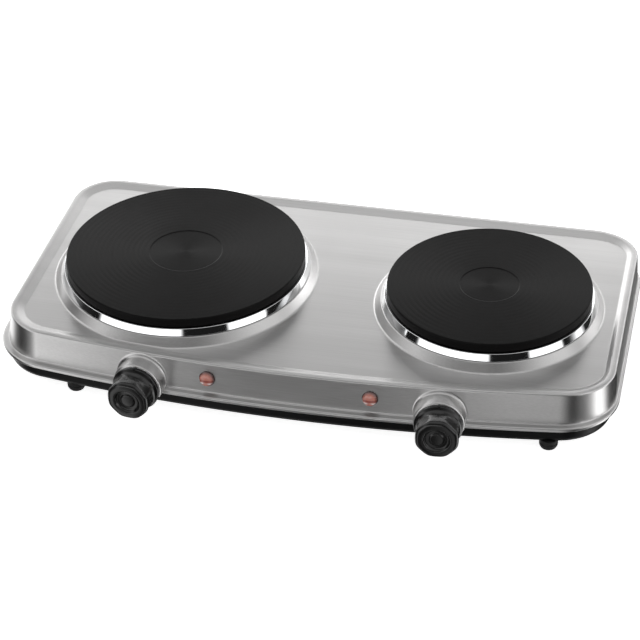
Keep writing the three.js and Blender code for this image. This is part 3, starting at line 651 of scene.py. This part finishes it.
def add_knob(side, sign):
    matrix = fitting_matrix(sign * KNOB[0], KNOB[1], KNOB[2], sign * KNOB_SPLAY)
    corners = [
        (9.5, 0.35), (17.2, 0.35, 0.3), (18, 0.6, 0.4), (17.9, 2.2, 0.9),
        (15.9, 4.0, 3), (15.2, 7.0, 9), (15.5, 11.0, 14),
        (16.6, 18.8, 5.5), (9.9, 19.2, 1.6), (8.5, 17.0, 1.6), (5.8, 16.6, 0.8), (4.7, 17.7, 1.2), (0, 17.9),
    ]
    profile = rounded(corners, 6)
    count = 192
    angles = np.arange(count) * 2 * math.pi / count
    outline = circle(count)
    vertices, _, faces, _ = sweep(outline, profile)
    vertices = np.array(vertices)
    radius = np.hypot(vertices[:, 0], vertices[:, 1])
    heading = np.arctan2(vertices[:, 1], vertices[:, 0])
    depth = np.interp(vertices[:, 2], [3, 6, 12, 30], [0, 0.6, 1, 1])
    reach = np.interp(radius, [9.6, 12.2, 14.5], [0, 0.7, 1])
    band = facet_radius(heading + math.pi / FACETS, 0.9) * depth * reach + (1 - depth * reach)
    vertices[:, 0] *= band
    vertices[:, 1] *= band
    body = f"{side}_control"
    knob = add_mesh(f"knob_{side}_grip", vertices, faces, PLASTIC, None, matrix, body)
    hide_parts(f"knob_{side}")
    nub = [(0, -1.2), (1.1, -1.2, 0.3), (1.1, 1.0, 0.45), (0, 1.35)]
    lift = matrix @ Matrix.Translation((0, 17.9 * MM, 1.7 * MM)) @ Matrix.Rotation(-math.pi / 2, 4, "X")
    add_turned(f"knob_{side}_pointer", nub, PLASTIC, lift, body, 24, 4)


def add_lens(side, sign):
    x, z = sign * LENS[0], LENS[1]
    offset = np.interp(z, [25.2, RIM_TOP], [2.95, 0.0])
    y = BOW_CENTRE - math.sqrt((BOW_RADIUS + offset) ** 2 - x**2)
    matrix = fitting_matrix(x, y, z, math.asin(x / BOW_RADIUS), LENS_TILT)
    corners = [(4.5, -4), (4.5, 0.25), (6.0, 0.25, 0.3), (6.0, 1.1, 0.5), (4.6, 3.6, 2.4), (0, 4.9)]
    lens = add_turned(f"lens_{side}", corners, RED, matrix, "root", 64, 6)
    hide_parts(f"pilot_lens_{side}")


# ---------------------------------------------------------------- base, feet and mains entry


def stadium(cx, cy, half_width, half_length, count=8):
    """The sweep outline of a slot with round ends, lengthwise along Y."""
    right = arc(cx, cy + half_length - half_width, half_width, 0, math.pi, count)
    left = arc(cx, cy - half_length + half_width, half_width, math.pi, 2 * math.pi, count)
    return np.concatenate([right[0], left[0]]), np.concatenate([right[1], left[1]])


def add_pan():
    outline = rim_outline()
    underside = PAN_BOTTOM + 0.02
    corners = [
        (-4, underside), (2.2, underside, 2.2), (3.7, PAN_BOTTOM + 3.4, 2), (5.35, PAN_TOP, 0.3),
        (4.4, PAN_TOP, 0.3), (2.3, 11.5, 2), (0, PAN_BOTTOM + 1.2, 1), (-4, PAN_BOTTOM + 1.2),
    ]
    vertices, normals, faces, rings = sweep(outline, rounded(corners))
    count = len(outline[0])
    low_loops, low_starts = [[v[:2] for v in vertices[:count]]], [0]
    high_loops, high_starts = [[v[:2] for v in vertices[rings[-1]:]]], [rings[-1]]
    for x, _, _ in PLATES.values():
        for i in range(VENTS):
            slot = stadium(x + (i - VENTS // 2) * VENT_PITCH, 0, VENT_HALF_WIDTH, VENT_HALF_LENGTH)
            profile = rounded([(0.35, underside), (0, underside, 0.35), (0, PAN_BOTTOM + 1.2)], 4)
            first = len(vertices)
            part = sweep(slot, profile, first, inside=True)
            vertices += part[0]
            normals += part[1]
            faces += part[2]
            size = len(slot[0])
            low_loops.append([v[:2] for v in vertices[first:first + size]])
            low_starts.append(first)
            high_loops.append([v[:2] for v in vertices[part[3][-1]:part[3][-1] + size]])
            high_starts.append(part[3][-1])
    faces += fill(low_loops, low_starts, vertices, downward=True)
    faces += fill(high_loops, high_starts, vertices)
    for start in high_starts[1:]:
        for i in range(start, start + len(high_loops[1])):
            normals[i] = (0, 0, 1)
    pan = add_mesh("base_tray", vertices, faces, PAINT, normals)
    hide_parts("base_pan")


def add_foot(node):
    low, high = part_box(node)
    matrix = Matrix.Translation(((low.x + high.x) / 2, (low.y + high.y) / 2, 0))
    corners = [
        (0, 0.5), (3.2, 0.5, 0.3), (3.6, 0.02, 0.3), (5.6, 0.02, 1.0), (6.8, 2.2, 1.5), (6.95, 4.2, 0.3),
        (6.5, 4.5, 0.2), (6.5, 5.0, 0.2), (6.95, 5.3, 0.3), (6.95, 8.25, 0.4), (0, 8.28),
    ]
    piece = add_turned(f"{node}_pad", corners, RUBBER, matrix, "root", 64)
    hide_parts(node)


def add_gland():
    low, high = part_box("cord_gland")
    centre = ((low.x + high.x) / 2, high.y, (low.z + high.z) / 2)
    matrix = Matrix.Translation(centre) @ Matrix.Rotation(-math.pi / 2, 4, "X")
    corners = [
        (3.7, -18.5), (5.8, -18.5, 0.5), (6.9, -16.6, 0.4), (6.9, -4.4, 0.3),
        (9.3, -4.3, 0.6), (9.3, -3.1, 0.6),
        (7.4, -2.6, 0.3), (7.2, -1.9, 0.3), (6.6, -1.8, 0.2), (6.5, -1.2, 0.2), (6.1, -1.1, 0.2),
        (5.6, -0.05, 0.5), (4.2, -0.05, 0.4), (3.75, -0.9, 0.3), (3.7, -18.5),
    ]
    gland = add_turned("cord_bushing", corners, PLASTIC, matrix, "root", 72)
    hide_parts("cord_gland")


# ---------------------------------------------------------------- studio


def add_floor():
    """A white floor that mirrors and bounced light don't see."""
    reach = 6
    corners = [(x * reach, y * reach, 0) for x, y in ((-1, -1), (1, -1), (1, 1), (-1, 1))]
    mesh = bpy.data.meshes.new("studio_floor")
    mesh.from_pydata(corners, [], [(0, 1, 2, 3)])
    t = Tree("studio_floor", (0.92, 0.92, 0.92), 0.9)
    t.colour(t.mix(t.noise(3, 2), (0.9, 0.9, 0.9), (0.94, 0.94, 0.94)))
    glow = t.node("ShaderNodeEmission")
    glow.inputs["Strength"].default_value = 0.9
    blend = t.node("ShaderNodeAddShader")
    t.link(t.shader.outputs[0], blend.inputs[0])
    t.link(glow.outputs[0], blend.inputs[1])
    t.link(blend.outputs[0], t.tree.nodes["Material Output"].inputs["Surface"])
    mesh.materials.append(t.material)
    floor = bpy.data.objects.new("studio_floor", mesh)
    bpy.context.scene.collection.objects.link(floor)
    floor.visible_glossy = False
    floor.visible_diffuse = False


def add_world():
    """A white studio tent with a few dark gaps, so that polished metal has something to show."""
    world = bpy.data.worlds.new("studio")
    world.use_nodes = True
    bpy.context.scene.world = world
    tree = world.node_tree
    background = tree.nodes["Background"]

    def node(kind, **settings):
        made = tree.nodes.new(kind)
        for key, value in settings.items():
            setattr(made, key, value)
        return made

    def calc(operation, *values):
        made = node("ShaderNodeMath", operation=operation)
        for value, socket in zip(values, made.inputs):
            if isinstance(value, (int, float)):
                socket.default_value = value
            else:
                tree.links.new(value, socket)
        return made.outputs[0]

    def smooth(value, start, end):
        made = node("ShaderNodeMapRange", interpolation_type="SMOOTHSTEP")
        tree.links.new(value, made.inputs["Value"])
        made.inputs["From Min"].default_value = start
        made.inputs["From Max"].default_value = end
        return made.outputs["Result"]

    def blend(factor, low, high):
        rest = calc("SUBTRACT", 1.0, factor)
        return calc("ADD", calc("MULTIPLY", rest, low), calc("MULTIPLY", factor, high))

    def ramp(value, stops):
        made = node("ShaderNodeValToRGB")
        tree.links.new(value, made.inputs["Fac"])
        band = made.color_ramp
        while len(band.elements) > 1:
            band.elements.remove(band.elements[-1])
        band.elements[0].position = stops[0][0]
        band.elements[0].color = (*[stops[0][1]] * 3, 1)
        for position, level in stops[1:]:
            band.elements.new(position).color = (level, level, level, 1)
        return made.outputs["Color"]

    direction = node("ShaderNodeSeparateXYZ")
    tree.links.new(node("ShaderNodeTexCoord").outputs["Generated"], direction.inputs[0])
    x, y, z = direction.outputs
    bearing = calc("ADD", calc("DIVIDE", calc("ARCTAN2", x, calc("MULTIPLY", y, -1.0)), 2 * math.pi), 0.5)

    def stops(pairs):
        return [((degrees + 180) / 360, level) for degrees, level in pairs]

    # Brightness by bearing in degrees, from the front round to the right: a panel's edge is a steep step
    ring = ramp(bearing, stops([
        (-180, 0.02), (-160, 0.02), (-157, 1.7), (-111, 1.7), (-108, 0.01), (-65, 0.01), (-62, 1.6),
        (8, 1.6), (11, 0.01), (48, 0.01), (51, 1.6), (84, 1.6), (87, 0.01), (106, 0.01), (109, 1.6),
        (140, 1.6), (143, 0.01), (179, 0.01),
    ]))
    ground = ramp(bearing, stops([
        (-180, 0.02), (-150, 0.02), (-138, 1.6), (-118, 1.5), (-100, 0.2), (-84, 0.02), (-62, 0.08),
        (-50, 0.35), (-42, 1.3), (-36, 1.2), (-28, 0.42), (-22, 0.1), (-8, 0.02), (0, 0.12), (6, 0.55),
        (13, 0.62), (22, 0.42), (34, 0.05), (62, 0.01), (80, 0.6), (90, 2.4), (108, 2.2), (118, 0.02),
        (179, 0.02),
    ]))
    dome = ramp(bearing, stops([
        (-179, 0.12), (-140, 0.35), (-105, 1.1), (-80, 1.0), (-50, 0.3), (-20, 0.08), (12, 0.08),
        (40, 0.35), (62, 0.9), (105, 0.95), (130, 0.35), (179, 0.12),
    ]))
    zenith = 0.74
    # z is the sine of the height above the horizon
    low = blend(smooth(z, -0.1, 0.0), ground, ring)
    level = blend(smooth(z, 0.22, 0.4), low, dome)
    level = blend(smooth(z, 0.78, 0.94), level, zenith)
    tree.links.new(level, background.inputs["Color"])
    background.inputs["Strength"].default_value = 1.0


def add_light(name, location, target, size, power):
    data = bpy.data.lights.new(name, "AREA")
    data.shape = "RECTANGLE"
    data.size, data.size_y = size
    data.energy = power
    light = bpy.data.objects.new(name, data)
    light.location = location
    light.rotation_euler = (Vector(target) - Vector(location)).to_track_quat("-Z", "Y").to_euler()
    bpy.context.scene.collection.objects.link(light)


def add_camera():
    data = bpy.data.cameras.new("camera")
    data.lens = 119.44
    data.sensor_width = 36
    camera = bpy.data.objects.new("camera", data)
    bearing, rise, roll = math.radians(13.407), math.radians(35.466), math.radians(1.26)
    pitched = Matrix.Rotation(bearing, 4, "Z") @ Matrix.Rotation(math.pi / 2 - rise, 4, "X")
    turned = pitched @ Matrix.Rotation(-roll, 4, "Z")
    aim = Vector((0.0137, -0.0590, 0.0657))
    distance = 1.5644
    place = aim + (turned @ Vector((0, 0, 1, 0))).to_3d() * distance
    camera.matrix_world = Matrix.Translation(place) @ turned
    bpy.context.scene.collection.objects.link(camera)
    bpy.context.scene.camera = camera


add_housing()
add_pan()
for plate_side, (plate_x, plate_radius, plate_spot) in PLATES.items():
    add_plate(plate_side, plate_x, plate_radius, plate_spot)
for control_side, control_sign in SIDES.items():
    add_boss(control_side, control_sign)
    add_knob(control_side, control_sign)
    add_lens(control_side, control_sign)
for foot_name in ("foot_front_left", "foot_front_right", "foot_rear_left", "foot_rear_right"):
    add_foot(foot_name)
add_gland()
add_floor()
add_world()
add_light("overhead", (-0.2, 0.3, 1.6), (0, 0, 0), (1.4, 0.9), 0.5)
add_light("back_softbox", (0.0, 0.60, 0.27), (0, 0.05, 0.1), (1.7, 0.36), 3.2)
add_camera()
bpy.context.scene.view_settings.view_transform = "Standard"
